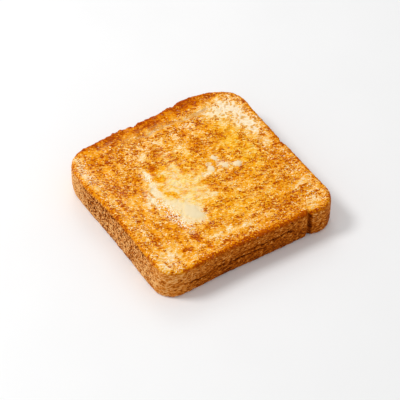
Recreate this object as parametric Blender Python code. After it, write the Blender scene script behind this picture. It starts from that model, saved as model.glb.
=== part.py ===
"""A slice of buttered toast, lying flat.

The slice is cut square to its loaf: a rounded four-sided outline that widens from its base (-Y) to its crown
(+Y), with the creases that a tin leaves in the crust. Toasting has shrunk the crumb, so the crust stands round
it as a low rim, and along the left side the top is pressed down towards the crust. A half-melted pat of butter
and four small flecks of it lie on the crumb.

Frame: metres, +Z up through the slice, with the origin under the middle of its outline, on the surface that it
lies on.
"""

import math

import bmesh
import bpy
import numpy as np

# ---- Driving dimensions of the slice, in metres ----
THICKNESS = 0.0185
BASE_WIDTH = 0.1060
CROWN_WIDTH = 0.1098
CROWN_SHIFT = -0.0011  # the crown's middle, sideways from the base's
LEFT_LENGTH = 0.1092
RIGHT_LENGTH = 0.1075
BASE_LEAN = 0.0022  # how much further in the base side is at its top, over its right part
LEAN_START = 0.2  # where the lean begins and is full, as shares of the base from its left
LEAN_FULL = 0.5

# Corners and sides run anticlockwise from the base's left corner: base, right side, crown, left side.
CORNER_RADII = (0.0165, 0.0115, 0.0105, 0.0180)

# Swells (+) and creases (-) of the crust: place along the side from its middle, height, half width.
SIDE_FEATURES = (
    ((-0.0270, 0.0005, 0.0090), (0.0330, 0.0003, 0.0090)),
    ((-0.0140, -0.0007, 0.0150), (0.0352, -0.0018, 0.0010), (0.0425, 0.0011, 0.0060)),
    ((-0.0020, -0.0010, 0.0018), (0.0380, 0.0008, 0.0110)),
    ((-0.0265, 0.0016, 0.0090), (0.0085, -0.0012, 0.0016), (0.0205, 0.0007, 0.0110)),
)

# ---- The crust's section and the top face ----
EDGE_ROUND = 0.0016  # rounding of the crust's two edges
SIDE_BULGE = 0.0004  # how far the crust stands out at half its height
RIM_WIDTH = 0.0022
RIM_FALL = 0.0040  # width over which the rim falls to the crumb
CRUMB_DROP = 0.0006
CRUMB_WAVE = 0.0002
CRUMB_WAVELENGTH = 0.0310
PRESSED_WIDTH = 0.0110  # the pressed-down band along the left side
PRESSED_DROP = 0.0014

# ---- The butter: centre, half length, half width, turn from +X, height ----
BUTTER_GAP = 0.0003  # clearance between the butter's underside and the crumb
BUTTER_HEM = 0.0002  # the butter's thickness at its edge
BUTTER_PIECES = {
    "butter_pat": ((0.0202, -0.0168), 0.0094, 0.0056, math.radians(15), 0.0011),
    "butter_fleck_1": ((0.0032, 0.0232), 0.0031, 0.0026, math.radians(80), 0.0007),
    "butter_fleck_2": ((0.0004, 0.0163), 0.0036, 0.0020, math.radians(52), 0.0006),
    "butter_fleck_3": ((-0.0074, 0.0147), 0.0035, 0.0019, math.radians(4), 0.0006),
    "butter_fleck_4": ((-0.0010, 0.0092), 0.0038, 0.0025, math.radians(8), 0.0006),
}
LOBE_DEPTH = 0.09  # unevenness of a butter outline, as a share of its radius
LARGE_LOBES = 3
SMALL_LOBES = 7
TAPER = 0.22  # how much narrower a piece is at its far end from its turn

# ---- How finely the surfaces are divided ----
GRID = 31
CORNER_CROWDING = 0.6  # 0 spaces the grid evenly, 1 crowds it most towards the corners
CREASE_ROWS = (-1.6, -0.8, 0.0, 0.8, 1.6)  # grid lines across a crease, in half widths from its middle
CREASE_WIDTH = 0.0020  # a narrower hollow than this is a crease
ROW_GAP = 0.4  # nearest that an even line may lie to a crease's, as a share of the even spacing
SIDE_LEVELS = 8
ARC_STEPS = 48
SIDE_STEPS = 240
BUTTER_SEGMENTS = 26
BUTTER_RINGS = 10

SHARP_ANGLE = math.radians(50)
BREAD_LOOK = {"colour": (0.60, 0.28, 0.07, 1.0), "roughness": 0.75}
BUTTER_LOOK = {"colour": (0.90, 0.75, 0.43, 1.0), "roughness": 0.30}


def smooth(x):
    """0 below 0, 1 above 1, and an even S between them."""
    x = np.clip(x, 0.0, 1.0)
    return x * x * (3.0 - 2.0 * x)


def bump(distance, half_width):
    return np.exp(-((distance / half_width) ** 2))


def unit(vector):
    return vector / np.hypot(*vector)


# ---- The outline ----
CORNERS = np.array(
    (
        (-BASE_WIDTH / 2, 0.0),
        (BASE_WIDTH / 2, 0.0),
        (CROWN_SHIFT + CROWN_WIDTH / 2, RIGHT_LENGTH),
        (CROWN_SHIFT - CROWN_WIDTH / 2, LEFT_LENGTH),
    )
)


def corner_arc(i):
    """The fillet of corner i: its points and their outward directions, from the side that arrives there."""
    corner, radius = CORNERS[i], CORNER_RADII[i]
    back, on = unit(CORNERS[i - 1] - corner), unit(CORNERS[(i + 1) % 4] - corner)
    half = math.acos(back @ on) / 2
    centre = corner + unit(back + on) * radius / math.sin(half)
    first = unit(corner + back * radius / math.tan(half) - centre)
    angles = math.atan2(first[1], first[0]) + np.linspace(0, math.pi - 2 * half, 2 * ARC_STEPS + 1)
    directions = np.column_stack((np.cos(angles), np.sin(angles)))
    return centre + radius * directions, directions


def side_run(i):
    """Side i from the middle of one corner to the middle of the next, with its swells and creases."""
    leaving, leaving_out = corner_arc(i)
    arriving, arriving_out = corner_arc((i + 1) % 4)
    start, end = leaving[-1], arriving[0]
    share = np.linspace(0, 1, SIDE_STEPS + 1)[1:-1, None]
    straight = start + (end - start) * share
    along = unit(end - start)
    outward = np.array((along[1], -along[0]))
    points = np.concatenate((leaving[ARC_STEPS:], straight, arriving[: ARC_STEPS + 1]))
    directions = np.concatenate(
        (leaving_out[ARC_STEPS:], np.tile(outward, (len(straight), 1)), arriving_out[: ARC_STEPS + 1])
    )
    place = (points - (CORNERS[i] + CORNERS[(i + 1) % 4]) / 2) @ along
    offset = sum(height * bump(place - at, width) for at, height, width in SIDE_FEATURES[i])
    return points + directions * offset[:, None], directions, place


class Outline:
    """The slice's outline about its own middle, read by share of each side and inset by any distance."""

    def __init__(self):
        runs = [side_run(i) for i in range(4)]
        self.loop = np.concatenate([points[:-1] for points, directions, place in runs])
        self.middle = (self.loop.min(axis=0) + self.loop.max(axis=0)) / 2
        self.loop -= self.middle
        self.sides = []
        for points, directions, place in runs:
            steps = np.hypot(*np.diff(points, axis=0).T)
            run = np.concatenate(((0.0,), np.cumsum(steps)))
            self.sides.append((points - self.middle, directions, place, run / run[-1]))

    def at(self, side, share, inset):
        """The point at this share of a side's length, moved inwards by inset."""
        points, directions, place, shares = self.sides[side]
        moved = points - directions * inset
        return np.array((np.interp(share, shares, moved[:, 0]), np.interp(share, shares, moved[:, 1])))

    def depth(self, point):
        """How far a point lies inside the outline."""
        return np.hypot(*(self.loop - point).T).min()

    def patch(self, u, v, inset):
        """The point at (u, v) of the surface that the four sides span (a Coons patch)."""
        base, right = self.at(0, u, inset), self.at(1, v, inset)
        crown, left = self.at(2, 1 - u, inset), self.at(3, 1 - v, inset)
        corners = [self.at(i, 0.0, inset) for i in range(4)]
        ruled = base * (1 - v) + crown * v + left * (1 - u) + right * u
        flat = (corners[0] * (1 - u) + corners[1] * u) * (1 - v) + (corners[3] * (1 - u) + corners[2] * u) * v
        return ruled - flat

    def rows(self, forward, backward):
        """Shares at which to divide two opposite sides: closer together near the corners and at every crease."""
        even = np.linspace(0, 1, GRID + 1)
        even += CORNER_CROWDING * (0.5 - 0.5 * np.cos(np.pi * even) - even)
        at_creases = []
        for side in (forward, backward):
            points, directions, place, shares = self.sides[side]
            for at, height, width in SIDE_FEATURES[side]:
                if height < 0 and width < CREASE_WIDTH:
                    near = np.interp(at + width * np.array(CREASE_ROWS), place, shares)
                    at_creases.extend(near if side == forward else 1 - near)
        kept = [row for row in even if all(abs(row - crease) > ROW_GAP / GRID for crease in at_creases)]
        return sorted(kept + at_creases)


# ---- The slice ----
def top_height(shape, point):
    """Height of the top face: the rim, the crumb inside it, and the band pressed down on the left."""
    inside = shape.depth(point)
    height = THICKNESS - CRUMB_DROP * smooth((inside - RIM_WIDTH) / RIM_FALL)
    turn = 2 * math.pi / CRUMB_WAVELENGTH
    wave = math.sin(point[0] * turn) * math.sin(point[1] * turn + 1.0)
    height -= CRUMB_WAVE * (0.5 + 0.5 * wave) * smooth(inside / RIM_FALL)
    from_left = point[0] + (BASE_WIDTH + CROWN_WIDTH) / 4
    return height - PRESSED_DROP * (1 - smooth(from_left / PRESSED_WIDTH))


def side_inset(level):
    """How far the crust stands in from the outline at this share of its height."""
    z = level * THICKNESS
    from_edge = min(z, THICKNESS - z)
    inset = SIDE_BULGE * (2 * level - 1) ** 2
    if from_edge < EDGE_ROUND:
        inset += EDGE_ROUND - math.sqrt(EDGE_ROUND**2 - (EDGE_ROUND - from_edge) ** 2)
    return inset


def make_bread(shape, collection, material):
    """A grid drawn up into a slab, whose points then take the slice's shape by their place in it."""
    columns, rows = shape.rows(0, 2), shape.rows(1, 3)
    bm = bmesh.new()
    bmesh.ops.create_grid(bm, x_segments=len(columns) - 1, y_segments=len(rows) - 1, size=0.5)
    drawn = bmesh.ops.extrude_face_region(bm, geom=bm.faces[:])
    upper = [v for v in drawn["geom"] if isinstance(v, bmesh.types.BMVert)]
    bmesh.ops.translate(bm, verts=upper, vec=(0.0, 0.0, 1.0))
    walls = [e for e in bm.edges if abs(e.verts[0].co.z - e.verts[1].co.z) > 0.5]
    bmesh.ops.subdivide_edges(bm, edges=walls, cuts=SIDE_LEVELS - 1)
    for vert in bm.verts:
        u = columns[round((vert.co.x + 0.5) * (len(columns) - 1))]
        v = rows[round((vert.co.y + 0.5) * (len(rows) - 1))]
        # Levels lie closer together towards the two rounded edges.
        level = 0.5 - 0.5 * math.cos(math.pi * vert.co.z)
        point = shape.patch(u, v, side_inset(level))
        height = level * top_height(shape, point)
        lean = BASE_LEAN * level * smooth((u - LEAN_START) / (LEAN_FULL - LEAN_START)) * (1 - v) ** 3
        vert.co = (point[0], point[1] + lean, height)
    bmesh.ops.recalc_face_normals(bm, faces=bm.faces[:])
    return add_object("bread", bm, collection, material)


# ---- The butter ----
def butter_reach(length, width, angle):
    """Distance from a butter piece's centre to its uneven, tapering edge, at an angle from its length."""
    width *= 1 + TAPER * math.cos(angle)
    ellipse = length * width / math.hypot(width * math.cos(angle), length * math.sin(angle))
    lobes = math.sin(LARGE_LOBES * angle + 1.0) + math.sin(SMALL_LOBES * angle) / 2
    return ellipse * (1 + LOBE_DEPTH * lobes)


def make_butter(name, shape, collection, material):
    """A ball pressed to the piece's outline: domed above, and flat along the crumb below."""
    centre, length, width, turn, dome = BUTTER_PIECES[name]
    bm = bmesh.new()
    bmesh.ops.create_uvsphere(bm, u_segments=BUTTER_SEGMENTS, v_segments=BUTTER_RINGS, radius=1.0)
    for vert in bm.verts:
        angle = math.atan2(vert.co.y, vert.co.x)
        across = math.hypot(vert.co.x, vert.co.y) * butter_reach(length, width, angle)
        direction = np.array((math.cos(angle + turn), math.sin(angle + turn)))
        point = np.array(centre) + direction * across
        above = BUTTER_HEM + dome * vert.co.z if vert.co.z > -1e-6 else 0.0
        vert.co = (point[0], point[1], top_height(shape, point) + BUTTER_GAP + above)
    bmesh.ops.recalc_face_normals(bm, faces=bm.faces[:])
    return add_object(name, bm, collection, material)


# ---- Objects and materials ----
def make_material(name, look):
    material = bpy.data.materials.new(name)
    material.use_nodes = True
    surface = material.node_tree.nodes["Principled BSDF"]
    surface.inputs["Base Color"].default_value = look["colour"]
    surface.inputs["Roughness"].default_value = look["roughness"]
    surface.inputs["Metallic"].default_value = 0.0
    return material


def add_object(name, bm, collection, material):
    mesh = bpy.data.meshes.new(name)
    bm.to_mesh(mesh)
    bm.free()
    mesh.materials.append(material)
    mesh.shade_smooth()
    mesh.set_sharp_from_angle(angle=SHARP_ANGLE)
    made = bpy.data.objects.new(name, mesh)
    collection.objects.link(made)
    return made


def main():
    for old in list(bpy.data.objects):
        bpy.data.objects.remove(old)
    collection = bpy.data.collections.new("buttered_toast")
    bpy.context.scene.collection.children.link(collection)
    bread_material = make_material("toasted_bread", BREAD_LOOK)
    butter_material = make_material("butter", BUTTER_LOOK)

    shape = Outline()
    make_bread(shape, collection, bread_material)
    for name in BUTTER_PIECES:
        make_butter(name, shape, collection, butter_material)


main()
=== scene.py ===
"""The buttered toast's looks: a browned, granular slice with melted butter in its crumb, on a pale floor."""

import math
from types import SimpleNamespace

import bpy
import numpy as np
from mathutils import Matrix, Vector
from mathutils.bvhtree import BVHTree
from mathutils.geometry import delaunay_2d_cdt

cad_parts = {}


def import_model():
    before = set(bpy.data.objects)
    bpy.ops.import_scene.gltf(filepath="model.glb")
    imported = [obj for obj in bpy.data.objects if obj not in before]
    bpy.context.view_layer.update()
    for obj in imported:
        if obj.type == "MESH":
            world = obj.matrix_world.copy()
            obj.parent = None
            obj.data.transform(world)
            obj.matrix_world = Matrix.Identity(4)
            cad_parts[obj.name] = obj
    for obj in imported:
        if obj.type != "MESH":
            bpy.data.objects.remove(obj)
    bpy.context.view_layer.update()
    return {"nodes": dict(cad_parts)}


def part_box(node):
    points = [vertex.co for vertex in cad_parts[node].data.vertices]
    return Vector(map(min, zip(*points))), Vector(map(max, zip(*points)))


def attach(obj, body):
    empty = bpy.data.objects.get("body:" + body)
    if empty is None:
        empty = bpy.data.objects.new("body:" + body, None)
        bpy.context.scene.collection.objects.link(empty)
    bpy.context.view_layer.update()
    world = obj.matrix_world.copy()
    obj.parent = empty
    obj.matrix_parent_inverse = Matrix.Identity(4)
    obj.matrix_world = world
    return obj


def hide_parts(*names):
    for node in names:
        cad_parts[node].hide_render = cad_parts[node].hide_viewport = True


MM = 0.001

# ---- How the slice is divided ----
ACROSS = 234  # divisions along each of its four sides
LEVELS = 38  # divisions up its crust
EVENNESS = 0.55  # 1 spaces the crust's rings evenly, 0 crowds them towards its two edges
LOWEST, HIGHEST = 0.0005, 0.9955  # where the first and last rings lie, as shares of the way up
TOP_INSET = 2.0 * MM  # the top's height at the outline is taken this far in, where it is full
UNDERSIDE_STEP = 2.0 * MM
UNDERSIDE, CRUST_SIDE, TOP = 0, 1, 2  # which part of the slice a point belongs to
FIRST_CORNER = -0.75 * math.pi  # the outline starts at the corner between the base and the left side
OUTLINE_RAYS = 2401  # how many rays find the outline before it is divided evenly
OUTSIDE, ABOVE, BESIDE = 0.2, 0.1, 0.05  # where rays start: round the slice, over it, and beside the butter

# ---- How far the slice's relief may pass the CAD slice's box ----
PAST_LOW = 0.6 * MM
PAST_HIGH = 0.4 * MM

# ---- The slice's flat map, as shares of the map's side ----
TOP_MIDDLE, TOP_PER_MM = (0.337, 0.334), 0.00595
UNDERSIDE_MIDDLE, UNDERSIDE_PER_MM = (0.835, 0.165), 0.0028
STRIPS = 3  # the crust is laid out as this many strips, one above the other
STRIP_LOW, STRIP_PITCH, STRIP_HEIGHT, STRIP_MARGIN = 0.675, 0.108, 0.1, 0.01

# ---- Marks of the slice, in millimetres from its middle and up from its base ----
FURROW_X, FURROW_WIDTH, FURROW_RUN = -43.0, 2.6, ((-40, -28), (46, 30))
LEFT_X, LEFT_RUN = -55.0, ((-52, -44), (48, 30))
CREASE_Y, CREASE_WIDTH = 35.2, 0.7
CRACK_WIDTH = 0.55
CRACKS = ((10.6, ((-12, -2), (30, 20))), (7.6, ((-46, -36), (12, 0))))  # height and run
SIDE_SHARE = 0.72  # how far round, in radians, each side of the slice reaches from its own middle

# ---- Butter ----
PAT_SIZE = 16 * MM  # a piece of butter this long or longer is whole, and a smaller one is nearly melted
BUTTER_DEPTH = 0.9 * MM  # how far a piece's underside reaches into the crumb

# ---- Camera ----
CAMERA_AZIMUTH = 57.36
CAMERA_ELEVATION = 45.75
CAMERA_DISTANCE = 0.8625
CAMERA_TARGET = (1.15 * MM, 0.75 * MM, 0.0)
LENS = 144.0
SENSOR_WIDTH = 36.0

# ---- Light and floor ----
KEY_LAMP = (-36, 54, 1.1, 0.36, 5.6)  # azimuth and elevation in degrees, distance and size in metres, watts
BACK_LAMP = (-115, 45, 1.2, 0.5, 1.2)
SURROUND_STRENGTH = 0.63
FLOOR_SIZE = 3.2


# ---------------------------------------------------------------- numbers and noise
def smooth(x):
    x = np.clip(x, 0.0, 1.0)
    return x * x * (3.0 - 2.0 * x)


def step(low, high, x):
    """0 where x is below low, 1 above high, smooth between them; low may be the larger."""
    return smooth((x - low) / (high - low))


def mix(a, b, share):
    return a + (b - a) * share


def chance(cell, seed):
    """A fixed pseudo-random number from 0 to 1 for each whole-number place."""
    h = cell[:, 0] * 73856093 ^ cell[:, 1] * 19349663 ^ cell[:, 2] * 83492791 ^ (seed * 2654435761)
    h = (h ^ (h >> 13)) * 1274126177 & 0xFFFFFFFF
    h = (h ^ (h >> 16)) * 2246822519 & 0xFFFFFFFF
    return ((h ^ (h >> 15)) & 0xFFFFFF) / float(0xFFFFFF)


CUBE = [np.array((i, j, k), np.int64) for i in (0, 1) for j in (0, 1) for k in (0, 1)]
AROUND = [np.array((i, j, k), np.int64) for i in (-1, 0, 1) for j in (-1, 0, 1) for k in (-1, 0, 1)]


def noise(p, size, seed):
    """Smooth noise from -1 to 1 whose lumps are about size across (millimetres)."""
    q = p / size
    cell = np.floor(q).astype(np.int64)
    f = q - cell
    f = f * f * f * (f * (f * 6 - 15) + 10)
    total = np.zeros(len(p))
    for corner in CUBE:
        weight = np.prod(np.where(corner == 1, f, 1 - f), axis=1)
        total += weight * chance(cell + corner, seed)
    return 2 * total - 1


TURN = np.array(((0.36, 0.48, -0.80), (-0.80, 0.60, 0.0), (0.48, 0.64, 0.60)))


def fractal(p, size, octaves, seed, fall=0.5):
    """Noise with finer noise on it; about -1 to 1."""
    total, weight, reach = 0.0, 1.0, 0.0
    for k in range(octaves):
        total = total + weight * noise(p, size, seed + 17 * k)
        reach += weight
        p, size, weight = p @ TURN.T, size * 0.5, weight * fall
    return total / reach * 1.6


def cells(p, size, seed):
    """For cells about size across: the distance to the nearest cell's middle, the distance to the next one's,
    and the nearest cell's own random number."""
    q = p / size
    cell = np.floor(q).astype(np.int64)
    f = q - cell
    first = np.full(len(p), 9.0)
    second = np.full(len(p), 9.0)
    own = np.zeros(len(p))
    for offset in AROUND:
        there = cell + offset
        middle = np.column_stack([chance(there, seed + k) for k in (1, 2, 3)])
        distance = np.linalg.norm(offset + middle - f, axis=1)
        nearer = distance < first
        second = np.where(nearer, first, np.minimum(second, distance))
        own = np.where(nearer, chance(there, seed + 4), own)
        first = np.where(nearer, distance, first)
    return first, second, own


def spot(p, x, y, length, width, turn=0.0):
    """1 at (x, y), falling smoothly outwards: half gone at about 0.8 of the half length and half width."""
    c, s = math.cos(math.radians(turn)), math.sin(math.radians(turn))
    dx, dy = p[:, 0] - x, p[:, 1] - y
    return np.exp(-(((dx * c + dy * s) / length) ** 2) - ((dy * c - dx * s) / width) ** 2)


def ridge(distance, width):
    """1 on a line, falling smoothly to each side."""
    return np.exp(-((distance / width) ** 2))


def on_run(x, run):
    """1 along a run, falling to 0 at its ends. Each end is a pair: where it is 0 and where it is full."""
    near, far = run
    return step(*near, x) * step(*far, x)


def facing(angle, way):
    """1 on the side of the slice that faces this way, 0 on the others."""
    return np.exp(-((np.angle(np.exp(1j * (angle - way))) / SIDE_SHARE) ** 6))


def sorted_by_angle(edge, values):
    """The values at points round the middle, in the order of the points' angles, for np.interp."""
    angle = np.arctan2(edge[:, 1], edge[:, 0])
    order = np.argsort(angle)
    return angle[order], values[order]


def depth_inside(p, ring):
    """How far each point lies inside a ring, in the plan."""
    reach = sorted_by_angle(ring, np.hypot(*ring.T))
    return np.interp(np.arctan2(p[:, 1], p[:, 0]), *reach, period=2 * math.pi) - np.hypot(p[:, 0], p[:, 1])


# ---------------------------------------------------------------- the slice's shape
def cad_tree(node):
    mesh = node.data
    mesh.calc_loop_triangles()
    points = [v.co.copy() for v in mesh.vertices]
    return BVHTree.FromPolygons(points, [tuple(t.vertices) for t in mesh.loop_triangles])


def side_point(tree, direction, height):
    """Where a level ray from outside first meets the crust."""
    far = Vector((direction[0], direction[1], 0.0)) * OUTSIDE
    hit = tree.ray_cast(Vector((far.x, far.y, height)), -far.normalized())[0]
    return hit.x, hit.y


def top_at(tree, x, y):
    """How high the slice's top lies here."""
    return tree.ray_cast(Vector((x, y, ABOVE)), Vector((0, 0, -1)))[0].z


def ring_directions(tree, height):
    """Directions from the middle to points spaced evenly along each of the outline's four sides."""
    angles = np.linspace(FIRST_CORNER, FIRST_CORNER + 2 * math.pi, OUTLINE_RAYS)
    around = np.array([side_point(tree, (math.cos(a), math.sin(a)), height) for a in angles])
    run = np.concatenate(((0.0,), np.cumsum(np.hypot(*np.diff(around, axis=0).T))))
    turns = np.unwrap(np.arctan2(around[:, 1], around[:, 0]))
    corners = [np.interp(FIRST_CORNER + k * math.pi / 2, turns, run) for k in range(5)]
    marks = np.concatenate([np.linspace(corners[k], corners[k + 1], ACROSS + 1)[:-1] for k in range(4)])
    points = np.column_stack((np.interp(marks, run, around[:, 0]), np.interp(marks, run, around[:, 1])))
    return points / np.hypot(*points.T)[:, None], points


def coons(ring):
    """A square grid of points that fills a ring of 4 * ACROSS points."""
    n = ACROSS
    base, right = ring[: n + 1], ring[n : 2 * n + 1]
    crown = ring[2 * n : 3 * n + 1][::-1]
    left = np.concatenate((ring[3 * n :], ring[:1]))[::-1]
    u = np.linspace(0, 1, n + 1)[None, :, None]
    v = np.linspace(0, 1, n + 1)[:, None, None]
    ruled = base[None] * (1 - v) + crown[None] * v + left[:, None] * (1 - u) + right[:, None] * u
    flat = (base[0] * (1 - u) + base[-1] * u) * (1 - v) + (crown[0] * (1 - u) + crown[-1] * u) * v
    return ruled - flat


def crust_rings(tree, directions, tops):
    """Rings of points round the crust, from the base up, each ring at one share of the way to the top."""
    rings = []
    for k in range(LEVELS + 1):
        crowded = 0.5 - 0.5 * math.cos(math.pi * (0.04 + 0.92 * k / LEVELS))
        level = min(max(mix(crowded, k / LEVELS, EVENNESS), LOWEST), HIGHEST)
        ring = []
        for direction, top in zip(directions, tops):
            height = level * top
            ring.append((*side_point(tree, direction, height), height))
        rings.append(ring)
    rings = np.array(rings)
    rings[0, :, 2] = 0.0
    return rings


def grid_numbers(last_ring, inner):
    """The point numbers of the top's square grid, whose edge is the last ring."""
    n = ACROSS
    numbers = np.empty((n + 1, n + 1), int)
    numbers[0, :] = last_ring + np.arange(n + 1)
    numbers[:, n] = last_ring + n + np.arange(n + 1)
    numbers[n, ::-1] = last_ring + 2 * n + np.arange(n + 1)
    numbers[::-1, 0] = last_ring + (3 * n + np.arange(n + 1)) % (4 * n)
    numbers[1:-1, 1:-1] = inner + np.arange((n - 1) ** 2).reshape(n - 1, n - 1)
    return numbers


def filled_underside(edge, low, high, start):
    """A loose grid of points inside the lowest ring, numbered from start, and triangles that fill it."""
    xs = np.arange(low.x, high.x, UNDERSIDE_STEP)
    ys = np.arange(low.y, high.y, UNDERSIDE_STEP)
    loose = np.array([(x, y) for y in ys for x in xs])
    loose = loose[depth_inside(loose, edge) > UNDERSIDE_STEP]
    flat = [Vector(place) for place in np.concatenate((edge, loose))]
    count = len(edge)
    _, _, triangles, origins, _, _ = delaunay_2d_cdt(flat, [], [list(range(count))], 1, 1e-9)
    numbers = [source[0] if source[0] < count else start + source[0] - count for source in origins]
    return loose, [tuple(numbers[k] for k in reversed(triangle)) for triangle in triangles]


def slice_shape(node):
    """The slice as (points, faces, parts, tops): even quads above and round the crust, triangles underneath.
    Every place is taken from the CAD slice. tops holds the top's height at each point of the outline."""
    tree = cad_tree(node)
    low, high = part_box("bread")
    directions, outline = ring_directions(tree, (low.z + high.z) / 2)
    count = len(directions)
    tops = np.array([top_at(tree, *(place - way * TOP_INSET)) for place, way in zip(outline, directions)])
    rings = crust_rings(tree, directions, tops)
    inner = coons(rings[-1][:, :2])[1:-1, 1:-1].reshape(-1, 2)
    inner_z = np.array([top_at(tree, x, y) for x, y in inner])
    faces = []
    for k in range(LEVELS):
        a, b = k * count, (k + 1) * count
        for i in range(count):
            j = (i + 1) % count
            faces.append((a + i, a + j, b + j, b + i))
    numbers = grid_numbers(LEVELS * count, (LEVELS + 1) * count)
    for r in range(ACROSS):
        for c in range(ACROSS):
            faces.append((numbers[r, c], numbers[r, c + 1], numbers[r + 1, c + 1], numbers[r + 1, c]))
    loose, filling = filled_underside(rings[0, :, :2], low, high, (LEVELS + 1) * count + len(inner))
    faces += filling
    groups = (
        (CRUST_SIDE, rings.reshape(-1, 3)),
        (TOP, np.column_stack((inner, inner_z))),
        (UNDERSIDE, np.column_stack((loose, np.zeros(len(loose))))),
    )
    parts = np.concatenate([np.full(len(points), part) for part, points in groups])
    return np.concatenate([points for _, points in groups]), faces, parts, tops


def new_mesh(name, points, faces):
    mesh = bpy.data.meshes.new(name)
    mesh.from_pydata([tuple(p) for p in points], [], faces)
    mesh.validate()
    mesh.shade_smooth()
    made = bpy.data.objects.new(name, mesh)
    bpy.context.scene.collection.objects.link(made)
    return made


def normals_of(mesh):
    normals = np.empty(len(mesh.vertices) * 3, np.float32)
    mesh.vertices.foreach_get("normal", normals)
    return normals.reshape(-1, 3).astype(float)


def set_points(mesh, points):
    mesh.vertices.foreach_set("co", points.astype(np.float32).ravel())
    mesh.update()


def set_map(mesh):
    """The slice's flat map: the top and the underside seen square on, and the crust in strips."""
    count = 4 * ACROSS
    strip = count // STRIPS
    corners = np.empty(len(mesh.loops), int)
    mesh.loops.foreach_get("vertex_index", corners)
    points = np.empty(len(mesh.vertices) * 3, np.float32)
    mesh.vertices.foreach_get("co", points)
    across = points.reshape(-1, 3)[corners, :2] * 1000
    places = across * TOP_PER_MM + TOP_MIDDLE
    first_top = 4 * LEVELS * count
    first_under = first_top + 4 * ACROSS * ACROSS
    places[first_under:] = across[first_under:] * (-UNDERSIDE_PER_MM, UNDERSIDE_PER_MM) + UNDERSIDE_MIDDLE
    level, along = np.divmod(np.arange(LEVELS * count), count)
    band, within = np.divmod(along, strip)
    square = np.array(((0, 0), (1, 0), (1, 1), (0, 1)))  # a face's four corners, in their order
    u = STRIP_MARGIN + (1 - 2 * STRIP_MARGIN) * (within[:, None] + square[:, 0]) / strip
    v = STRIP_LOW + STRIP_PITCH * band[:, None] + STRIP_HEIGHT * (level[:, None] + square[:, 1]) / LEVELS
    places[:first_top] = np.stack((u, v), axis=-1).reshape(-1, 2)
    layer = mesh.uv_layers.new(name="OFBake")
    layer.data.foreach_set("uv", places.astype(np.float32).ravel())


def set_value(mesh, name, values):
    attribute = mesh.attributes.new(name, "FLOAT", "POINT")
    attribute.data.foreach_set("value", values.astype(np.float32))


# ---------------------------------------------------------------- what lies where on the slice
def spots(p, listed):
    """The sum of several spots, each x, y, half length, half width, turn, amount."""
    total = np.zeros(len(p))
    for x, y, length, width, turn, amount in listed:
        total += amount * spot(p, x, y, length, width, turn)
    return total


def joined(p, listed):
    """The same spots as one area: 1 where any of them is full."""
    rest = np.ones(len(p))
    for x, y, length, width, turn, amount in listed:
        rest *= 1 - min(amount, 1.0) * spot(p, x, y, length, width, turn)
    return 1 - rest


# Places on top of the slice, in millimetres from its middle: x, y, half length, half width, turn, amount.
# Melted butter covers the crumb.
MELTED = (
    (-6.0, -13.0, 14.0, 9.0, 0, 0.9),
    (6.0, -11.0, 10.0, 9.0, 0, 0.6),
    (2.0, -22.0, 13.0, 7.0, 10, 1.0),
    (-15.0, -22.5, 6.0, 3.0, 0, 0.9),
    (0.0, -3.0, 14.0, 5.0, 0, 0.45),
    (17.4, -17.8, 11.6, 6.2, 10, 1.0),
    (24.0, -8.0, 8.0, 4.0, 0, 0.2),
    (20.0, -24.5, 11.0, 3.0, 5, 0.4),
    (2.0, -30.0, 8.0, 1.8, 0, 0.7),
    (-23.0, -6.0, 6.0, 3.0, 0, 0.3),
    (12.0, -3.0, 8.0, 4.0, 0, 0.4),
    (0.5, 4.5, 1.6, 3.0, 0, 0.9),
    (-1.0, 15.0, 9.0, 6.0, 30, 0.30),
)
# Crumb stands bare in the butter.
BARE = (
    (-2.6, 12.6, 2.4, 1.1, 20, 0.9),
    (4.0, 19.6, 1.6, 0.8, 0, 0.8),
    (-8.6, -18.4, 2.2, 3.8, 0, 1.45),
    (5.0, -18.9, 3.4, 1.6, 20, 1.4),
    (-17.0, -16.0, 3.2, 3.6, 0, 1.5),
    (-19.5, -24.5, 1.8, 1.6, 0, 1.2),
    (-13.5, -27.5, 4.0, 2.2, 0, 1.3),
    (-2.3, -20.6, 1.0, 2.2, 0, 1.4),
    (4.2, -26.2, 1.4, 1.7, 0, 1.5),
    (-1.2, -28.4, 1.7, 1.2, 0, 1.5),
    (17.0, -29.0, 8.0, 1.8, 0, 0.9),
    (-9.0, -4.0, 5.0, 1.6, 10, 0.5),
    (-22.0, -19.5, 3.0, 1.6, 0, 0.8),
    (29.5, -20.0, 1.2, 1.6, 40, 1.0),
)
# The butter is still thick and white.
CREAMY = (
    (21.0, -17.0, 8.0, 5.4, 10, 1.4),
    (26.5, -20.5, 3.6, 3.0, 0, 0.8),
    (12.0, -21.5, 5.0, 3.4, 20, 0.55),
    (6.0, -25.0, 6.5, 3.8, 0, 0.64),
    (-3.0, -24.5, 6.5, 3.2, 0, 0.62),
    (3.4, 23.0, 4.2, 2.9, 80, 0.8),
    (0.6, 16.6, 4.4, 2.0, 52, 0.75),
    (-7.0, 14.8, 4.2, 1.9, 4, 0.75),
    (-0.8, 9.0, 4.4, 2.8, 8, 0.85),
    (-14.0, -22.8, 6.0, 2.3, -5, 1.1),
    (-3.0, -12.0, 9.0, 5.0, 0, 0.5),
    (3.0, -30.2, 7.0, 1.1, 0, 1.1),
    (-2.0, -27.0, 5.0, 1.6, 0, 0.6),
    (0.5, 4.5, 1.4, 2.4, 0, 0.8),
)
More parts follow.
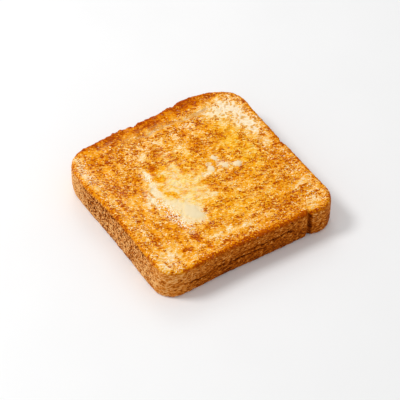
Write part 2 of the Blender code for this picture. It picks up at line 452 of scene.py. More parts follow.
# Painted glints: small grains here are painted nearly white, standing in for highlights.
SPARKLING = (
    (21.0, -25.4, 12.0, 3.2, 5, 1.3),
    (6.0, -30.0, 10.0, 2.4, 5, 0.9),
    (-13.0, -23.5, 8.0, 2.8, 0, 0.9),
    (2.0, -25.0, 11.0, 3.5, 0, 0.45),
    (0.5, 4.5, 2.2, 3.0, 0, 1.0),
    (-32.0, -50.0, 12.0, 4.0, 0, 0.5),
    (-10.0, -41.0, 28.0, 7.0, 0, 0.25),
    (12.0, 0.0, 8.0, 8.0, 0, 0.25),
)
# The crumb is hardly toasted.
PALE = (
    (-38.0, 40.0, 9.5, 12.0, -20, 0.46),
    (-21.0, 44.5, 10.0, 5.5, 0, 0.49),
    (-32.0, 46.0, 7.0, 4.5, 0, 0.26),
    (-33.0, 35.0, 7.0, 6.0, 0, 0.24),
    (-4.0, 45.0, 9.0, 4.0, 0, 0.14),
    (48.0, 43.0, 6.0, 7.0, 0, 0.22),
    (38.0, 45.0, 8.0, 5.0, 0, 0.08),
    (-30.0, 2.0, 8.0, 10.0, 0, 0.07),
    (50.0, 35.0, 3.0, 5.0, 0, 0.16),
    (24.0, 46.0, 10.0, 3.0, 0, 0.08),
    (41.5, -6.0, 2.2, 9.0, 0, 0.26),
    (40.0, -17.0, 3.0, 5.0, 0, 0.18),
    (46.0, -45.0, 8.0, 4.5, 0, 0.32),
    (41.0, -41.0, 4.0, 2.5, 0, 0.16),
    (-36.0, 17.0, 3.5, 2.8, 0, 0.26),
    (-34.0, -50.0, 9.0, 2.6, 0, 0.26),
    (-47.0, -48.0, 4.0, 4.0, 0, 0.30),
    (-44.0, -47.0, 4.0, 2.6, -45, 0.16),
    (-21.0, -48.0, 8.0, 2.0, 0, 0.14),
    (-3.0, -47.0, 3.0, 1.5, 0, 0.20),
    (20.0, -45.0, 8.0, 2.5, 0, 0.16),
    (10.0, -48.5, 6.0, 1.5, 0, 0.12),
    (-33.0, -20.0, 8.0, 8.0, 0, 0.12),
    (-36.0, -9.0, 4.0, 6.0, 0, 0.16),
    (-24.0, 3.0, 4.0, 3.0, 0, 0.10),
    (-24.0, -14.0, 4.0, 4.0, 0, 0.12),
    (11.0, 8.0, 6.0, 6.0, 0, 0.06),
    (-23.0, -22.0, 4.0, 2.2, 0, 0.18),
    (33.0, -20.0, 6.0, 5.0, 0, 0.10),
    (34.0, -28.0, 5.0, 2.0, 0, 0.14),
    (-12.0, 4.0, 8.0, 2.4, 0, 0.08),
)
# The crumb is toasted darker.
DARK = (
    (-23.0, 12.0, 13.0, 3.6, 8, 0.15),
    (-32.5, 12.0, 1.4, 1.2, 0, 0.34),
    (-33.5, 21.0, 1.0, 1.2, 0, 0.34),
    (-20.0, 23.0, 8.0, 2.6, 0, 0.13),
    (-29.0, 24.0, 3.0, 5.0, 0, 0.12),
    (-17.0, -16.5, 1.7, 2.2, 0, 0.62),
    (-24.0, -9.0, 1.8, 2.2, 0, 0.42),
    (17.0, 22.0, 5.0, 4.0, 0, 0.14),
    (4.0, 4.0, 2.4, 2.0, 0, 0.16),
    (10.0, 5.0, 1.4, 4.0, 0, 0.18),
    (30.0, 34.0, 3.0, 2.6, 0, 0.22),
    (37.0, 33.0, 1.6, 4.0, 0, 0.22),
    (41.5, 34.0, 1.2, 2.6, 0, 0.20),
    (13.0, 39.0, 5.0, 1.6, 0, 0.14),
    (27.0, 39.0, 4.0, 1.2, 0, 0.16),
    (38.0, -24.0, 2.6, 2.3, 0, 0.75),
    (45.0, -21.5, 2.6, 1.4, 0, 0.45),
    (22.0, -26.0, 10.0, 2.4, 5, 0.12),
    (41.5, -34.0, 1.5, 2.5, 0, 0.75),
    (37.5, -9.0, 1.4, 4.0, 0, 0.20),
    (31.0, -32.0, 7.0, 2.6, 0, 0.14),
    (-32.0, -35.0, 8.0, 2.2, 0, 0.16),
    (-18.0, -33.0, 1.6, 1.8, 0, 0.24),
    (-12.0, -31.0, 5.0, 1.8, 0, 0.10),
    (-15.0, -40.0, 7.0, 1.3, 0, 0.18),
    (6.0, -38.0, 12.0, 1.4, 0, 0.16),
    (22.0, -41.0, 8.0, 1.3, 0, 0.14),
    (-41.0, -40.0, 4.0, 6.0, 0, 0.16),
    (52.0, -5.0, 1.8, 45.0, 0, 0.12),
)
# Butter has soaked into the crumb and turned it golden.
SOAKED_IN = (
    (-2.0, -4.0, 22.0, 16.0, 0, 1.1),
    (-15.0, 30.0, 20.0, 9.0, 0, 1.0),
    (29.0, 12.0, 10.0, 20.0, 0, 0.8),
    (10.0, -20.0, 24.0, 12.0, 0, 0.9),
    (6.0, 28.0, 12.0, 8.0, 0, 0.7),
    (0.0, 36.0, 20.0, 5.0, 0, 0.5),
)
# The crumb is evenly golden.
CALM = ((-2.0, -4.0, 14.0, 9.0, 0, 1.0), (14.0, -3.0, 7.0, 6.0, 0, 0.5))
# The rim is darker, or stands up.
DARK_RIM = ((-53.0, 24.0, 3.0, 7.0, 0, 0.30), (-31.0, 53.0, 5.0, 2.0, 0, 0.20))
RAISED_RIM = ((-54.0, 29.0, 6.0, 9.0, 0, 0.55),)
# The way that the pale corner's pores lie.
PORE_TURN = np.array(((0.77, 0.64, 0.0), (-0.64, 0.77, 0.0), (0.0, 0.0, 1.0)))


def surface_of(p, parts, ring, tops):
    """What each layer of the slice's look needs to know about its points."""
    s = SimpleNamespace(p=p, on_top=parts == TOP)
    s.x, s.y, s.z = p.T
    s.flat = p * (1, 1, 0)
    s.angle = np.arctan2(s.y, s.x)
    s.inside = depth_inside(p, ring)
    top = np.interp(s.angle, *sorted_by_angle(ring, tops), period=2 * math.pi)
    s.below = np.where(s.on_top, 0.0, top - s.z)
    push = [noise(s.flat, 6.0, 31 + k) + 0.6 * noise(s.flat, 2.4, 41 + k) for k in range(3)]
    s.warp = 1.2 * np.column_stack(push)
    s.q = p + s.warp * (1, 1, 0)  # the same points pushed about, so that nothing is too regular
    s.rim = 1 - step(0.5, 3.8, s.inside)
    s.to_base = facing(s.angle, -math.pi / 2)
    s.to_right = facing(s.angle, 0.0)
    s.to_back = step(-0.2, 0.5, np.sin(s.angle) - np.cos(s.angle))  # towards the crown and the left
    s.to_left = step(0.55, 0.30, np.abs(np.abs(s.angle) - math.pi))
    s.lip = step(0.1, 0.7, s.below) * step(2.2, 1.3, s.below) * s.to_right  # the right side's upper edge
    return s


def crumb_layers(s):
    """The crumb's relief: flakes with crevices between them, pits, swells, and the furrow's creases."""
    first, second, _ = cells(s.q * (1.0, 0.75, 1.0), 2.5, 101)
    flakes = smooth((second - first) / 0.45)
    first, _, own = cells(s.q, 1.3, 151)
    pits = (1 - step(0.1, 0.55, first)) * step(0.45, 1.0, own)
    grain = fractal(s.q, 1.5, 2, 201, 0.6)
    swell = fractal(s.p * (1.3, 0.7, 1.0), 6.0, 2, 221)
    relief = 0.26 * (flakes - 0.6) + 0.32 * grain + 0.16 * swell - 0.42 * pits

    line = FURROW_X - 0.05 * np.maximum(s.y - 20, 0) ** 1.1 + 0.04 * np.minimum(s.y, 0)
    furrow = ridge(s.q[:, 0] - line, FURROW_WIDTH) * on_run(s.y, FURROW_RUN)
    creases = fractal(s.q * (1.0, 0.12, 1.0), 1.6, 2, 251)
    relief += furrow * (-0.30 + 0.60 * creases)
    return SimpleNamespace(flakes=flakes, pits=pits, furrow=furrow, creases=creases, relief=relief)


def butter_layers(s, crumb):
    """The melted butter's film, the creamy butter on it, and the patches that both break up into."""
    loose = fractal(s.q, 3.4, 3, 241, 0.7)
    drawn = fractal(s.q * (1.3, 0.5, 1), 3.0, 3, 245, 0.7)
    patches = mix(loose, drawn, step(-12, -4, s.y))
    bare = spots(s.q, BARE)
    film = step(0.18, 0.85, joined(s.q, MELTED) - bare + 0.32 * patches - 0.45 * crumb.relief)
    cream = step(0.25, 0.95, spots(s.q, CREAMY) - 1.1 * bare - 0.6 * crumb.relief - 0.30 * patches)
    return SimpleNamespace(film=film, cream=cream, patches=patches)


def mottling(s):
    """The top's cloudy browning, drawn out towards the crown on the right and along the base near it."""
    along_y = step(-8, 14, s.x) * step(-31, -23, s.y)
    along_x = step(-27, -33, s.y)
    mottle = mix(fractal(s.p, 4.6, 3, 301, 0.65), fractal(s.p * (1.25, 0.42, 1), 4.2, 3, 311, 0.65), along_y)
    return mix(mottle, fractal(s.p * (0.45, 1.35, 1), 4.2, 3, 321, 0.65), along_x)


def top_look(s, crumb, butter):
    """How brown the top is from 0 to 1, and the values that its colours need besides."""
    mottle = mottling(s)
    speck = fractal(s.q * (1.1, 0.85, 1.0), 1.9, 2, 331, 0.7)
    pale = np.clip(spots(s.q, PALE), 0, 0.6)
    dark = spots(s.q, DARK)
    calm = spots(s.p, CALM)
    even = np.maximum(np.clip(spots(s.q, MELTED), 0, 1), calm)
    brown = 0.445 + 0.13 * (mottle + speck) * (1 - 0.5 * even) + 0.05 * calm - pale + dark
    # Pits and the crevices between flakes are browner, the flakes' middles paler: partly deeper browning,
    # partly painted shade in the hollows.
    brown += (0.10 + 0.5 * pale) * crumb.pits - 0.10 * (crumb.flakes - 0.6)

    # The pale corner's pores are browner and duller: partly their own tone, partly painted shade in them.
    first, _, own = cells(s.q @ PORE_TURN.T * (1.2, 0.55, 1.0), 2.0, 351)
    pores = (1 - step(0.26, 0.44, first)) * step(0.0, 0.3, own)
    pores *= step(0.12, 0.3, pale) * step(20, 32, s.y)
    brown += 0.44 * pores
    left_band = 1 - step(5.5, 12.5, s.x - LEFT_X - 1.2 * s.warp[:, 0])
    brown += (0.38 + 0.12 * mottle) * left_band * on_run(s.y, LEFT_RUN)
    brown += (0.16 + 0.10 * s.to_back + 0.24 * s.to_right + 0.16 * s.to_base) * s.rim
    brown += spots(s.p, DARK_RIM)
    buttered = 0.21 + 0.9 * (brown - 0.45) - 0.20 * butter.patches + 0.12 * speck
    brown = mix(brown, buttered, butter.film) + 0.22 * s.lip

    # The furrow's creases take the dull colour: partly their own tone, partly painted shade in the creases.
    streaky = crumb.furrow * (0.45 - 1.5 * crumb.creases + 0.5 * speck) * step(44, 26, s.y)
    cluster = np.clip(0.50 + 1.0 * mottle + 0.6 * dark - 1.2 * pale, 0, 1.2)
    return {
        "brown": np.clip(brown, 0, 1),
        "soak": np.clip(spots(s.q, SOAKED_IN) + 0.25 * mottle, 0, 1) * (1 - 0.8 * s.rim),
        "film": butter.film * (1 - s.rim) * s.on_top,
        "cream": butter.cream * (1 - s.rim) * s.on_top,
        "dull_and_painted_shade": np.clip(streaky + 0.8 * pores, 0, 1),
        "cluster": cluster * (1 - 0.6 * butter.film) * (1 - 0.8 * even),
        # sparkle: where grains get painted glints
        "sparkle": step(0.1, 0.9, spots(s.q, SPARKLING)),
    }


def crust_look(s):
    """The crust's relief in millimetres, and the values that its colours need."""
    grain = fractal(s.p, 1.5, 3, 401, 0.6)
    first, _, own = cells(s.p * (1, 1, 0.8), 1.7, 431)
    pits = (1 - step(0.1, 0.55, first)) * step(0.40, 0.9, own)
    dents = fractal(s.p * (1, 1, 0.30), 2.6, 2, 461)
    notches = step(0.25, 0.6, dents) * s.to_base
    sway = 1.3 * noise(s.flat, 11.0, 481) + 0.5 * noise(s.flat, 3.0, 482)
    crack = 0.0
    for height, run in CRACKS:
        crack = crack + ridge(s.z - height - sway, CRACK_WIDTH) * on_run(s.y, run)
    crack *= s.to_right * step(-0.9, -0.1, noise(s.p, 4.0, 491))
    crease = ridge(s.y - CREASE_Y, CREASE_WIDTH) * s.to_right
    relief = 0.16 * grain - 0.35 * pits * (0.5 + 0.5 * s.to_base) - 0.30 * notches
    relief += (0.06 + 0.12 * s.to_base) * dents - 0.9 * crack - 0.3 * crease

    low_half = step(10, 6, s.z + sway)
    upper = step(0.2, 1.0, s.below) * step(4.5, 2.5, s.below)
    # The base side is paler and the right side browner: partly the crust's own colour, partly painted light
    # on the base side, which faces the key lamp, and painted shade on the right side, which faces away from
    # it.
    brown = 0.49 - 0.18 * s.to_base + 0.01 * s.to_right
    # The crust's pits, notches, cracks and crease are darker: painted shade in these hollows, which the
    # relief also cuts.
    brown += 0.12 * grain + 0.24 * pits + 0.22 * notches + 0.6 * crack + 0.4 * crease
    brown += s.to_right * (0.12 * low_half - 0.10 * step(35, 37, s.y))
    brown += s.to_base * (0.10 * (upper - 0.25) - 0.11 * low_half)
    # The two corners by the base are paler, the left one most of all.
    corners = np.abs(np.sin(2 * s.angle)) ** 6
    brown -= 0.24 * corners * step(0.3, -0.2, np.sin(s.angle)) * (1 - 0.25 * s.to_right)
    brown -= 0.20 * step(0.25, 0.0625, np.abs(s.angle + math.pi * 0.70))
    pale_corner = step(0.17, 0.06, np.abs(s.angle + math.pi * 0.25))
    brown += 0.22 * s.lip - 0.02 * pale_corner
    side = step(0.8, 2.4, s.below + 0.5 * grain)
    side[s.on_top] = 0.0
    return relief, {
        "side": side,
        "coarse": 1.0 + 0.75 * s.to_base - 0.3 * pale_corner,
        "even": s.to_base,
        "crust_brown": np.clip(brown, 0, 1),
    }


def slice_fields(p, parts, ring, tops):
    """The slice's relief at each point, and the values that its colours need; lengths are in millimetres."""
    s = surface_of(p, parts, ring, tops)
    crumb = crumb_layers(s)
    butter = butter_layers(s, crumb)
    crust_relief, crust_values = crust_look(s)
    top_relief = mix(crumb.relief, 0.05 + 0.5 * crumb.relief, butter.film) * s.on_top
    relief = mix(top_relief, crust_relief, np.where(s.on_top, 1 - step(0.5, 2.5, s.inside), 1.0))
    # The rim stands up raggedly on the left.
    off_crown = step(0.2, -0.5, np.sin(s.angle) + np.cos(s.angle) * 0.2 - 0.5)
    relief += (0.25 + 0.30 * fractal(p, 2.4, 3, 501, 0.6)) * s.rim * s.to_back * off_crown
    ragged = (0.40 + 0.45 * fractal(p, 2.0, 2, 511, 0.6)) * s.to_left
    relief += s.rim * (spots(p, RAISED_RIM) + ragged)
    relief = np.where(parts == UNDERSIDE, -0.05, relief)
    return relief, top_look(s, crumb, butter) | crust_values


# ---------------------------------------------------------------- materials
def linear(red, green, blue):
    def one(c):
        c /= 255
        return c / 12.92 if c <= 0.04045 else ((c + 0.055) / 1.055) ** 2.4

    return (one(red), one(green), one(blue), 1.0)


class Nodes:
    """Short names for building a material's nodes."""

    def __init__(self, name):
        self.material = bpy.data.materials.new(name)
        self.material.use_nodes = True
        self.tree = self.material.node_tree
        self.surface = self.tree.nodes["Principled BSDF"]

    def add(self, kind, **settings):
        node = self.tree.nodes.new(kind)
        for key, value in settings.items():
            setattr(node, key, value)
        return node

    def link(self, source, target):
        self.tree.links.new(source, target)

    def put(self, socket, value):
        if hasattr(value, "is_output"):
            self.link(value, socket)
        else:
            socket.default_value = value

    def value(self, name):
        return self.add("ShaderNodeAttribute", attribute_name=name).outputs["Fac"]

    def math(self, operation, a, b=0.0, clamp=False):
        node = self.add("ShaderNodeMath", operation=operation, use_clamp=clamp)
        self.put(node.inputs[0], a)
        self.put(node.inputs[1], b)
        return node.outputs[0]

    def plus(self, first, *others):
        for other in others:
            first = self.math("ADD", first, other)
        return first

    def minus(self, a, b):
        return self.math("SUBTRACT", a, b)

    def times(self, a, b):
        return self.math("MULTIPLY", a, b)

    def ramp(self, value, stops):
        node = self.add("ShaderNodeValToRGB")
        elements = node.color_ramp.elements
        while len(elements) < len(stops):
            elements.new(0.5)
        for element, (place, colour) in zip(elements, stops):
            element.position = place
            element.color = linear(*colour)
        self.put(node.inputs[0], value)
        return node.outputs["Color"]

    def blend(self, share, a, b):
        """Colour a where share is 0 and colour b where it is 1."""
        node = self.add("ShaderNodeMix", data_type="RGBA")
        self.put(node.inputs["Factor"], share)
        self.put(node.inputs[6], a)
        self.put(node.inputs[7], b)
        return node.outputs[2]

    def noise(self, size, detail=2.0, roughness=0.5, place=None):
        place = place or self.add("ShaderNodeTexCoord").outputs["Object"]
        node = self.add("ShaderNodeTexNoise")
        node.inputs["Scale"].default_value = 1.0 / size
        node.inputs["Detail"].default_value = detail
        node.inputs["Roughness"].default_value = roughness
        self.link(place, node.inputs["Vector"])
        return node.outputs["Fac"]

    def warped(self, size, reach):
        """The place on the piece, pushed about by noise."""
        place = self.add("ShaderNodeTexCoord").outputs["Object"]
        node = self.add("ShaderNodeTexNoise")
        node.inputs["Scale"].default_value = 1.0 / size
        self.link(place, node.inputs["Vector"])
        push = self.add("ShaderNodeVectorMath", operation="MULTIPLY_ADD")
        self.link(node.outputs["Color"], push.inputs[0])
        push.inputs[1].default_value = (reach, reach, reach)
        self.link(place, push.inputs[2])
        return push.outputs[0]

    def drawn_out(self, place, turn, share):
        """The place turned level by this many degrees, with what lies along its x axis drawn out."""
        node = self.add("ShaderNodeMapping", vector_type="POINT")
        node.inputs["Rotation"].default_value = (0.0, 0.0, -math.radians(turn))
        self.link(place, node.inputs["Vector"])
        return self.stretched(node.outputs["Vector"], (share, 1.0, 1.0))

    def stretched(self, place, scale):
        node = self.add("ShaderNodeVectorMath", operation="MULTIPLY")
        self.link(place, node.inputs[0])
        node.inputs[1].default_value = scale
        return node.outputs[0]

    def shifted(self, place, way):
        node = self.add("ShaderNodeVectorMath", operation="ADD")
        self.link(place, node.inputs[0])
        node.inputs[1].default_value = way
        return node.outputs[0]

    def granules(self, size, place):
        """Three random numbers for each grain of about this size, and a dome on it."""
        node = self.add("ShaderNodeTexVoronoi")
        node.inputs["Scale"].default_value = 1.0 / size
        self.link(place, node.inputs["Vector"])
        split = self.add("ShaderNodeSeparateColor")
        self.link(node.outputs["Color"], split.inputs["Color"])
        dome = self.minus(1.0, node.outputs["Distance"])
        return split.outputs["Red"], split.outputs["Green"], split.outputs["Blue"], dome

    def weighted(self, *terms):
        """The sum of each value, less its middle, times its weight."""
        total = 0.0
        for value, middle, weight in terms:
            total = self.plus(total, self.times(self.minus(value, middle), weight))
        return total

    def map_range(self, value, low, high):
        """0 where the value is at low, 1 at high, smooth between them; low may be the larger."""
        node = self.add("ShaderNodeMapRange", interpolation_type="SMOOTHSTEP")
        node.inputs["From Min"].default_value = low
        node.inputs["From Max"].default_value = high
        self.link(value, node.inputs["Value"])
        return node.outputs["Result"]

    def bump(self, height, strength, distance):
        node = self.add("ShaderNodeBump")
        node.inputs["Strength"].default_value = strength
        node.inputs["Distance"].default_value = distance
        self.link(height, node.inputs["Height"])
        self.link(node.outputs["Normal"], self.surface.inputs["Normal"])


# Colours from the palest to the brownest: the dry crumb, the crumb soaked with butter, and the crust.
TOAST = (
    (0.00, (255, 236, 204)),
    (0.12, (249, 219, 178)),
    (0.25, (251, 203, 114)),
    (0.40, (247, 174, 46)),
    (0.55, (240, 153, 4)),
    (0.72, (224, 127, 0)),
    (0.88, (204, 98, 0)),
    (1.00, (170, 68, 0)),
)
SOAKED = (
    (0.00, (254, 227, 140)),
    (0.12, (250, 215, 130)),
    (0.25, (250, 203, 84)),
    (0.40, (249, 180, 22)),
    (0.55, (243, 160, 0)),
    (0.72, (229, 133, 0)),
    (0.88, (208, 102, 0)),
    (1.00, (174, 72, 0)),
)
CRUST = (
    (0.00, (244, 188, 118)),
    (0.25, (218, 134, 46)),
    (0.50, (178, 88, 4)),
    (0.75, (134, 56, 0)),
    (1.00, (76, 26, 0)),
)
# How large the bread's marks are, which way they run, and the colours besides.
FLAKE, GRAIN, FINE_GRAIN = 1.9 * MM, 0.85 * MM, 0.50 * MM
SOFT, MARK, STREAK = 1.1 * MM, 1.0 * MM, 1.7 * MM
GRAIN_TURN = 60.0  # degrees: the way that the crumb's small marks run
GRAIN_SHARE = 0.45  # how much they are drawn out that way: less is longer
LEVEL_GRAIN = (0.42, 0.42, 1.5)  # the crust's grain is drawn out level
PAINTED_SHADING_WAY = (0.0, -0.42 * MM, 0.20 * MM)  # painted shading: each grain is paler on its side that faces this way and browner on the other
PAT = ((0.3, (240, 221, 180)), (0.7, (235, 213, 168)))
FLOOR = ((0.3, (243, 243, 243)), (0.7, (245, 245, 245)))
PAINTED_GLINT = (255, 242, 212)  # painted glints on the crumb's grains
MELT = (241, 217, 184)  # melted butter in the crumb
CREAM = (243, 222, 178)  # thick butter on the crumb
DULL_AND_PAINTED_SHADE = (212, 158, 90)  # the furrow's creases and the pale corner's pores: partly their duller tone, partly painted shade in these hollows
FLECK = (249, 221, 178)
HEM = (252, 218, 140)  # where a piece of butter melts into the crumb


def bread_grain(n):
    """The grain that the crumb's and the crust's colours and bumps share; its colour shift holds painted
    shading on each grain.
    """
    g = SimpleNamespace(place=n.warped(1.6 * MM, 0.9 * MM))
    g.drawn = n.drawn_out(g.place, GRAIN_TURN, GRAIN_SHARE)
    g.flake, _, _, g.flake_dome = n.granules(FLAKE, g.drawn)
    g.tone, _, _, g.dome = n.granules(GRAIN, g.drawn)
    g.fine, g.fine_lit, g.fine_burnt, _ = n.granules(FINE_GRAIN, g.place)
    g.soft = n.noise(SOFT, 2.0, 0.6)
    g.marks = n.noise(MARK, 3.0, 0.65, g.drawn)
    # Painted shading: the noise a step this way less the noise here makes each grain paler on one side and
    # browner on the other.
    ahead = n.noise(GRAIN, 2.0, 0.6, n.shifted(g.drawn, PAINTED_SHADING_WAY))
    here = n.noise(GRAIN, 2.0, 0.6, g.drawn)
    grains = ((g.flake, 0.5, 0.20), (g.tone, 0.5, 0.14), (g.fine, 0.5, 0.16))
    noises = ((g.soft, 0.5, 0.40), (g.marks, 0.5, -0.40))
    g.shift = n.plus(n.weighted(*grains, *noises), n.times(n.minus(ahead, here), 1.45))
    return g


def top_colour(n, g):
    """Toasted crumb with butter in it and on it."""
    cluster = n.value("cluster")
    streaks = n.noise(STREAK, 3.0, 0.65, g.drawn)
    shift = n.times(g.shift, n.plus(n.times(cluster, 0.75), 0.60))
    shift = n.math("MAXIMUM", shift, n.times(shift, 0.72))  # the grain turns brown more than pale
    # Dark marks: browned specks and streaks, and painted shade in the crumb's crevices and pores.
    dark = n.plus(
        n.times(n.map_range(g.marks, 0.43, 0.38), 0.70),
        n.times(n.map_range(g.fine_burnt, 0.83, 0.87), 1.10),
        n.times(n.map_range(streaks, 0.48, 0.39), 0.46),
    )
    # Painted glints: a few grains everywhere are made paler, as small highlights.
    painted_glint_specks = n.times(n.map_range(g.fine_lit, 0.90, 0.94), 0.34)
    change = n.minus(n.plus(shift, n.times(dark, cluster)), painted_glint_specks)
    brown = n.math("ADD", n.value("brown"), change, clamp=True)
    top = n.blend(n.value("soak"), n.ramp(brown, TOAST), n.ramp(brown, SOAKED))
    melt = n.plus(n.times(n.map_range(g.marks, 0.44, 0.60), 0.55), 0.06)
    top = n.blend(n.times(n.value("film"), melt), top, linear(*MELT))
    # Painted shade, with a duller tone, in the furrow's creases and the pale corner's pores.
    top = n.blend(n.times(n.value("dull_and_painted_shade"), 0.7), top, linear(*DULL_AND_PAINTED_SHADE))
    # Thick butter is whole; thin butter breaks up over the crumb.
    gaps = n.times(n.minus(n.plus(g.marks, n.times(g.fine, 0.12)), 0.43), 3.2)
    butter = n.map_range(n.minus(n.value("cream"), gaps), 0.05, 0.55)
    top = n.blend(n.times(butter, 0.88), top, linear(*CREAM))
    # Painted glints: in the sparkling places some grains turn nearly white.
    glint = n.times(n.map_range(g.fine_lit, 0.58, 0.68), n.value("sparkle"))
    return n.blend(glint, top, linear(*PAINTED_GLINT))


def crust_colour(n, g):
    """Browned crust. Its grain lies level, save along the base side, where it is coarse and even."""
    lines = n.noise(GRAIN, 3.0, 0.65, n.stretched(g.place, LEVEL_GRAIN))
    level_shift = n.weighted((lines, 0.5, -2.0), (g.fine, 0.5, 0.24), (g.soft, 0.5, 0.34))
    level_shift = n.plus(level_shift, n.times(n.map_range(lines, 0.42, 0.35), 0.35))
    # The base side takes the crumb's grain with its painted shading, and dark marks, partly painted shade in
    # crevices.
    even_shift = n.plus(g.shift, n.times(n.map_range(g.marks, 0.46, 0.38), 0.50))
    shift = n.plus(level_shift, n.times(n.value("even"), n.minus(even_shift, level_shift)))
    shift = n.times(shift, n.value("coarse"))
    return n.ramp(n.math("ADD", n.value("crust_brown"), shift, clamp=True), CRUST)


def bread_material():
    n = Nodes("toasted_bread")
    g = bread_grain(n)
    n.link(n.blend(n.value("side"), top_colour(n, g), crust_colour(n, g)), n.surface.inputs["Base Color"])
    wet = n.math("MAXIMUM", n.times(n.value("soak"), 0.5), n.value("film"))
    n.link(n.minus(0.6, n.times(wet, 0.25)), n.surface.inputs["Roughness"])
    n.surface.inputs["Specular IOR Level"].default_value = 0.02
    bare = n.minus(1.0, n.times(n.value("cream"), 0.8))
    height = n.weighted((g.dome, 0.0, 0.7), (g.flake_dome, 0.0, 0.8), (g.soft, 0.0, 1.0))
    n.bump(n.times(height, bare), 0.5, FINE_GRAIN)
    return n.material


def butter_material():
    n = Nodes("butter")
    colour = n.blend(n.value("fleck"), n.ramp(n.noise(5 * MM), PAT), linear(*FLECK))
    colour = n.blend(n.times(n.map_range(n.value("edge"), 0.65, 1.0), 0.7), colour, linear(*HEM))
    n.link(colour, n.surface.inputs["Base Color"])
    n.surface.inputs["Roughness"].default_value = 0.28
    n.surface.inputs["Specular IOR Level"].default_value = 0.10
    n.bump(n.noise(1.2 * MM, 2.0), 0.25, 0.15 * MM)
    return n.material


def floor_material():
    n = Nodes("floor")
    n.link(n.ramp(n.noise(60 * MM), FLOOR), n.surface.inputs["Base Color"])
    n.surface.inputs["Roughness"].default_value = 0.55
    return n.material


# ---------------------------------------------------------------- pieces
def make_slice(node, material):
    points, faces, parts, tops = slice_shape(node)
    made = new_mesh("toast_slice", points, faces)
    count = 4 * ACROSS
    middle_ring = points[LEVELS // 2 * count : (LEVELS // 2 + 1) * count, :2]
    relief, values = slice_fields(points * 1000, parts, middle_ring * 1000, tops * 1000)
    moved = points + normals_of(made.data) * (relief * MM)[:, None]
    low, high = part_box("bread")
    moved = np.clip(moved, np.array(low) - PAST_LOW, np.array(high) + PAST_HIGH)
    moved[:, 2] = np.maximum(moved[:, 2], 0.0)
    set_points(made.data, moved)
    set_map(made.data)
    for name, at_points in values.items():
        set_value(made.data, name, at_points)
    made.data.materials.append(material)
    return made


def uneven_outline(tree, low, high, angles):
    """How far the CAD piece reaches from its middle each way, drawn in here and there."""
    middle = (low + high) / 2
    reach = []
    for a in angles:
        way = Vector((math.cos(a), math.sin(a), 0.0))
        starts = [Vector((middle.x, middle.y, z)) + way * BESIDE for z in np.linspace(low.z, high.z, 9)]
        hits = [tree.ray_cast(start, -way)[0] for start in starts]
        reach.append(max((hit.xy - middle.xy).length for hit in hits if hit))
    around_it = np.column_stack((np.cos(angles), np.sin(angles), 0 * angles)) + middle.x * 1000
    return np.array(reach) * (0.84 + 0.16 * fractal(around_it, 0.8, 2, 521, 0.6))


def butter_piece(name, tree, bread_tree, material):
    """Melting butter on the CAD piece's outline: a low dome whose uneven hem runs down into the crumb."""
    low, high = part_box(name)
    middle = (low + high) / 2
    whole = min(1.0, (high - low).length / PAT_SIZE)  # 1 on the pat, less on a fleck
    rise = mix(0.42, 0.62, whole**2) * MM
    around, rings = 120, 40
    angles = np.arange(around) * 2 * math.pi / around
    reach = uneven_outline(tree, low, high, angles)
    shares = (np.arange(1, rings + 1) / rings)[:, None] ** 0.8
    x = (middle.x + np.cos(angles) * reach * shares).ravel()
    y = (middle.y + np.sin(angles) * reach * shares).ravel()
    share = np.repeat(shares, around)
    ragged = fractal(np.column_stack((x, y, 0 * x)) * 1000, mix(2.2, 4.5, whole), 2, 511, 0.6)
    lift = rise * (1 - share**3) + (0.26 - 0.12 * whole) * MM * ragged - (0.46 * share**4) * MM
    ground = np.array([top_at(bread_tree, *place) for place in zip(x, y)])
    points = list(zip(x, y, ground + lift))
    middle_ground = top_at(bread_tree, middle.x, middle.y)
    top_middle, low_middle = len(points), len(points) + 1
    points.append((middle.x, middle.y, middle_ground + np.mean(lift[:around])))
    points.append((middle.x, middle.y, middle_ground - BUTTER_DEPTH))
    faces = []
    last = (rings - 1) * around
    for i in range(around):
        j = (i + 1) % around
        for k in range(0, last, around):
            faces.append((k + i, k + around + i, k + around + j, k + j))
        faces.append((top_middle, i, j))
        faces.append((low_middle, last + j, last + i))
    made = new_mesh(name + "_piece", points, faces)
    set_value(made.data, "edge", np.append(share, (0.0, 1.0)))
    set_value(made.data, "fleck", np.full(len(points), 1.0 - whole))
    made.data.materials.append(material)
    return made


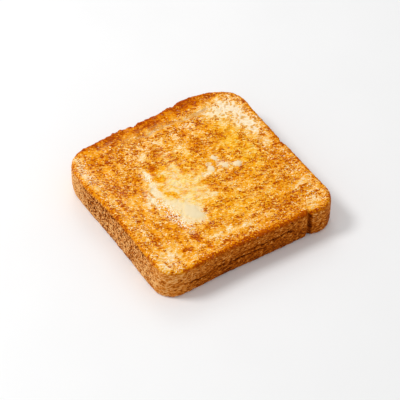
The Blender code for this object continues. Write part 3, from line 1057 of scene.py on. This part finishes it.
def stage():
    bpy.ops.mesh.primitive_plane_add(size=FLOOR_SIZE, location=(0, 0, 0))
    floor = bpy.context.active_object
    floor.name = "floor"
    floor.data.materials.append(floor_material())


def from_view(azimuth, elevation, distance, target):
    """The place from which target is seen at this azimuth and elevation, which are in degrees."""
    a, e = math.radians(azimuth), math.radians(elevation)
    back = Vector((math.sin(a) * math.cos(e), -math.cos(a) * math.cos(e), math.sin(e)))
    return Vector(target) + back * distance


def aim(thing, target):
    thing.rotation_euler = (Vector(target) - thing.location).to_track_quat("-Z", "Y").to_euler()


def softbox(name, azimuth, elevation, distance, size, power):
    data = bpy.data.lights.new(name, "AREA")
    data.shape = "DISK"
    data.size = size
    data.energy = power
    lamp = bpy.data.objects.new(name, data)
    lamp.location = from_view(azimuth, elevation, distance, (0, 0, 0))
    aim(lamp, (0, 0, 0))
    bpy.context.scene.collection.objects.link(lamp)


def light_and_camera():
    world = bpy.data.worlds.new("studio")
    world.use_nodes = True
    background = world.node_tree.nodes["Background"]
    background.inputs["Color"].default_value = (1.0, 1.0, 1.0, 1.0)
    background.inputs["Strength"].default_value = SURROUND_STRENGTH
    bpy.context.scene.world = world
    softbox("key", *KEY_LAMP)
    softbox("back", *BACK_LAMP)

    data = bpy.data.cameras.new("camera")
    data.lens = LENS
    data.sensor_width = SENSOR_WIDTH
    camera = bpy.data.objects.new("camera", data)
    camera.location = from_view(CAMERA_AZIMUTH, CAMERA_ELEVATION, CAMERA_DISTANCE, CAMERA_TARGET)
    aim(camera, CAMERA_TARGET)
    bpy.context.scene.collection.objects.link(camera)
    bpy.context.scene.camera = camera
    bpy.context.scene.view_settings.view_transform = "Standard"


def main():
    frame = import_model()
    bread, butter = bread_material(), butter_material()
    toast = make_slice(frame["nodes"]["bread"], bread)
    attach(toast, "root")
    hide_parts("bread")
    bread_tree = cad_tree(frame["nodes"]["bread"])
    for name in sorted(frame["nodes"]):
        if not name.startswith("butter"):
            continue
        piece = butter_piece(name, cad_tree(frame["nodes"][name]), bread_tree, butter)
        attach(piece, "root")
        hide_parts(name)
    stage()
    light_and_camera()


main()
